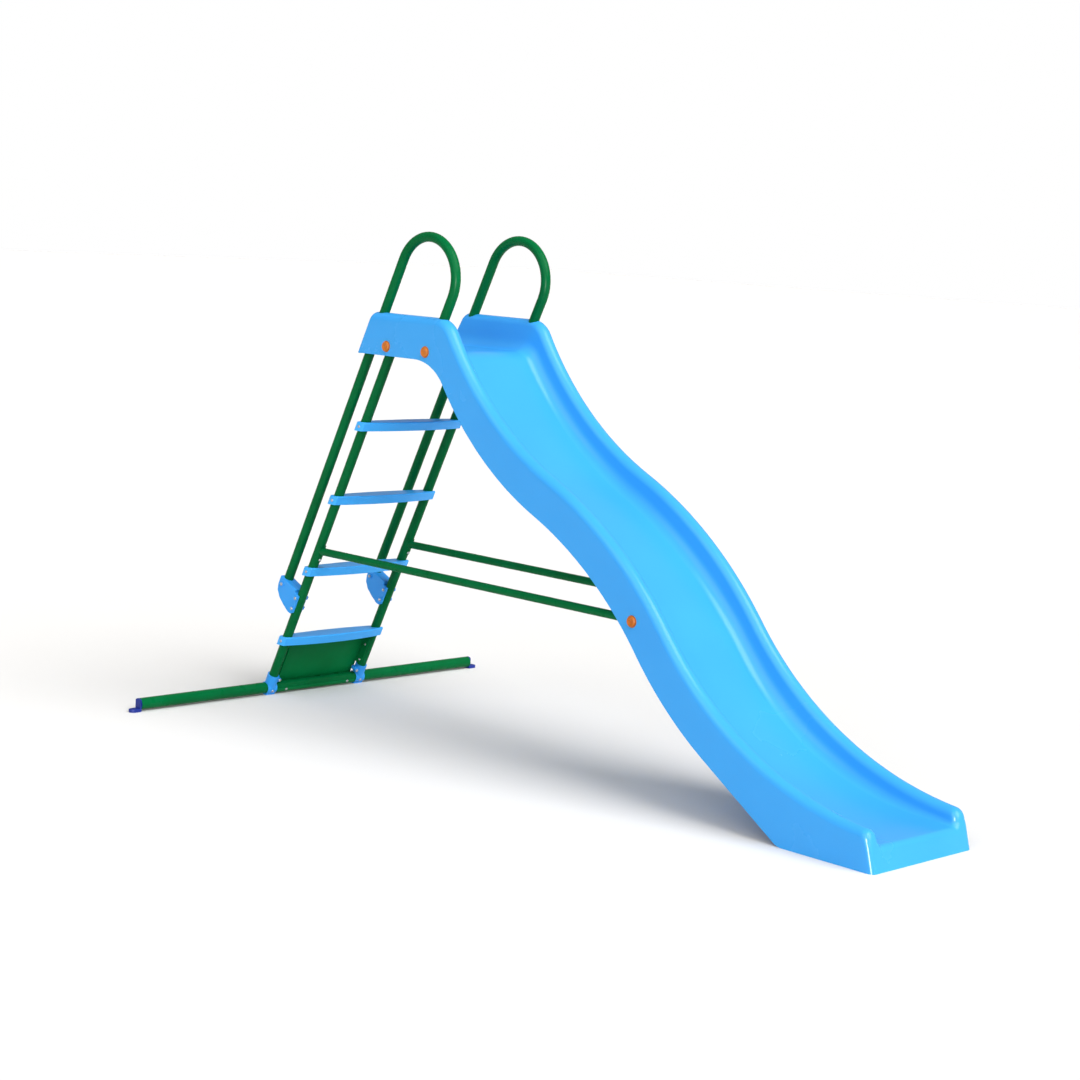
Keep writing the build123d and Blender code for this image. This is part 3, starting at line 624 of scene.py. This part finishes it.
BOLT_R, BOSS_R = 0.0041, 0.015
RAIL_BACK, RAIL_FRONT = -0.0978, 0.1862
STILE_BOLT_Z, RAIL_BOLT_Z = 1.360, 1.356
BRACE_BOLT_X, BRACE_Z, BRACE_R = 1.857, 0.584, 0.014
rail_bolt_along = (RAIL_BOLT_Z - DATUM_Z + RAIL_FRONT * lean_sin) / lean_cos
bolt_spots = [
    (stile_x(STILE_BOLT_Z), STILE_BOLT_Z, TUBE_R),
    (on_ladder(RAIL_FRONT, 0, rail_bolt_along).x, RAIL_BOLT_Z, TUBE_R),
    (FOOT_X + BRACE_BOLT_X, BRACE_Z, BRACE_R),
]
cap_profile = (
    [(0.0, 0.0052), (0.0074, 0.0052), (0.0074, 0.0), (0.0197, 0.0), (0.0200, 0.0004)]
    + [(0.0200, 0.0011), (0.0196, 0.0014), (0.0190, 0.0013), (0.0187, 0.0006), (0.0180, 0.0006)]
    + arc((0.0130, 0.0030), 0.0050, 0, 85, 10)
    + arc((0.0090, 0.0165), 0.0088, -62, -88, 6)
    + [(0.0048, 0.0076), (0.0043, 0.0072), (0.0040, 0.0062), (0.0, 0.0060)]
)
for number, (x, z, tube_r) in enumerate(bolt_spots, start=1):
    for side, way in (("left", 1), ("right", -1)):
        turned(
            f"bolt_cap_{side}_{number}",
            cap_profile,
            [(x, way * OUTER_Y, z, way)],
            "cap_plastic",
            "bolt_caps",
        )
        reach = OUTER_Y - WALL - (STILE_Y + tube_r)
        turned(
            f"skirt_boss_{side}_{number}",
            [
                (BOLT_R, -reach), (BOSS_R - 0.001, -reach), (BOSS_R, 0.001 - reach),
                (BOSS_R, -0.002), (BOSS_R + 0.002, 0.0), (BOLT_R, 0.0),
            ],
            [(x, way * (OUTER_Y - WALL), z, way)],
            "slide_plastic",
            "slide_body",
            segments=48,
        )

# The handrails' legs and the bolts pass through real holes in the shell.
LEG_GAP, LEG_DRILL, BOLT_DRILL = 0.0004, 0.06, 0.012
drill_verts, drill_faces = [], []


def drill(centre, axis, radius, half, segments=48):
    """Add a closed round cutter to the drill's mesh."""
    across = axis.orthogonal().normalized()
    second = axis.cross(across)
    base = len(drill_verts)
    for end in (-half, half):
        for n in range(segments):
            angle = 2 * pi * n / segments
            drill_verts.append(
                centre + axis * end + (across * cos(angle) + second * sin(angle)) * radius
            )
    for n in range(segments):
        m = (n + 1) % segments
        drill_faces.append((base + n, base + m, base + segments + m, base + segments + n))
    drill_faces.append(tuple(base + n for n in reversed(range(segments))))
    drill_faces.append(tuple(base + segments + n for n in range(segments)))


for y in (STILE_Y, -STILE_Y):
    for across in (RAIL_BACK, RAIL_FRONT):
        rail_along = (CREST_Z - DATUM_Z + across * lean_sin) / lean_cos
        drill(on_ladder(across, y, rail_along), UP_LADDER, TUBE_R + LEG_GAP, LEG_DRILL)
for x, z, _ in bolt_spots:
    for way in (1, -1):
        drill(Vector((x, way * OUTER_Y, z)), ACROSS_Y, BOLT_R, BOLT_DRILL)
drill_mesh = bpy.data.meshes.new("drill")
drill_mesh.from_pydata([tuple(v) for v in drill_verts], [], drill_faces)
drill_obj = bpy.data.objects.new("drill", drill_mesh)
bpy.context.scene.collection.objects.link(drill_obj)
bm = bmesh.new()
bm.from_mesh(drill_mesh)
bmesh.ops.recalc_face_normals(bm, faces=bm.faces)
bm.to_mesh(drill_mesh)
bm.free()
holes = slide.modifiers.new("holes", "BOOLEAN")
holes.operation = "DIFFERENCE"
holes.solver = "EXACT"
holes.object = drill_obj
apply_modifiers(slide)
bpy.data.objects.remove(drill_obj)
slide.data.shade_smooth()
slide.data.set_sharp_from_angle(angle=radians(SHELL_SMOOTH))


# --- Floor, light and camera --------------------------------------------------------------------------
floor_mesh = bpy.data.meshes.new("floor")
floor_mesh.from_pydata([(-60, -60, 0), (60, -60, 0), (60, 60, 0), (-60, 60, 0)], [], [(0, 1, 2, 3)])
floor_obj = bpy.data.objects.new("floor", floor_mesh)
bpy.context.scene.collection.objects.link(floor_obj)
paper = Nodes("floor_paper")
paper.link(
    paper.ramp(paper.noise(0.8, 2.0), [(0.3, (0.700, 0.697, 0.697)), (0.7, (0.708, 0.705, 0.705))]),
    paper.shader.inputs["Base Color"],
)
paper.shader.inputs["Roughness"].default_value = 0.9
paper.shader.inputs["Specular IOR Level"].default_value = 0.1
floor_mesh.materials.append(paper.material)

world = bpy.data.worlds.new("studio")
bpy.context.scene.world = world
world.use_nodes = True
sky = world.node_tree
backdrop = sky.nodes["Background"]
backdrop.inputs["Color"].default_value = (1, 1, 1, 1)
backdrop.inputs["Strength"].default_value = 1.0
fill = sky.nodes.new("ShaderNodeBackground")  # dimmer and warmer, for all but the camera
fill.inputs["Color"].default_value = (1, 0.97, 0.90, 1)
fill.inputs["Strength"].default_value = 0.40
seen = sky.nodes.new("ShaderNodeLightPath")
either = sky.nodes.new("ShaderNodeMixShader")
sky.links.new(seen.outputs["Is Camera Ray"], either.inputs["Fac"])
sky.links.new(fill.outputs["Background"], either.inputs[1])
sky.links.new(backdrop.outputs["Background"], either.inputs[2])
sky.links.new(either.outputs["Shader"], sky.nodes["World Output"].inputs["Surface"])


def aim(obj, towards):
    obj.rotation_euler = Vector(towards).to_track_quat("-Z", "Y").to_euler()
    bpy.context.scene.collection.objects.link(obj)


def sun(name, energy, spread, towards):
    light = bpy.data.lights.new(name, "SUN")
    light.energy = energy
    light.angle = radians(spread)
    aim(bpy.data.objects.new(name, light), towards)


sun("key", 3.9, 52, (-0.72, -0.06, -0.69))
sun("front_fill", 1.5, 60, (-0.30, 0.80, -0.52))

# A tall softbox beside the camera: the gleam on edges that face it, with no diffuse light.
gleam = bpy.data.lights.new("softbox", "AREA")
gleam.shape = "RECTANGLE"
gleam.size, gleam.size_y = 0.12, 1.7
gleam.energy = 800
softbox = bpy.data.objects.new("softbox", gleam)
softbox.location = (FOOT_X + 6.92, -5.22, 0.95)
aim(softbox, (-0.64, 0.77, 0))
softbox.visible_diffuse = False

camera_data = bpy.data.cameras.new("camera")
camera_data.sensor_width = 36
camera_data.lens = 76.52
camera_data.clip_end = 200
camera = bpy.data.objects.new("camera", camera_data)
yaw, pitch, roll = radians(44.84), radians(7.85), radians(3.19)
forward = Vector((-sin(yaw) * cos(pitch), cos(yaw) * cos(pitch), -sin(pitch)))
right = Vector((cos(yaw), sin(yaw), 0))
up = right.cross(forward)
right, up = right * cos(roll) + up * sin(roll), up * cos(roll) - right * sin(roll)
facing = Matrix((right, up, -forward)).transposed().to_4x4()
camera.matrix_world = Matrix.Translation((6.6959 + FOOT_X, -5.5469, 1.8165)) @ facing
bpy.context.scene.collection.objects.link(camera)
bpy.context.scene.camera = camera
bpy.context.scene.view_settings.view_transform = "Standard"
bpy.context.view_layer.update()
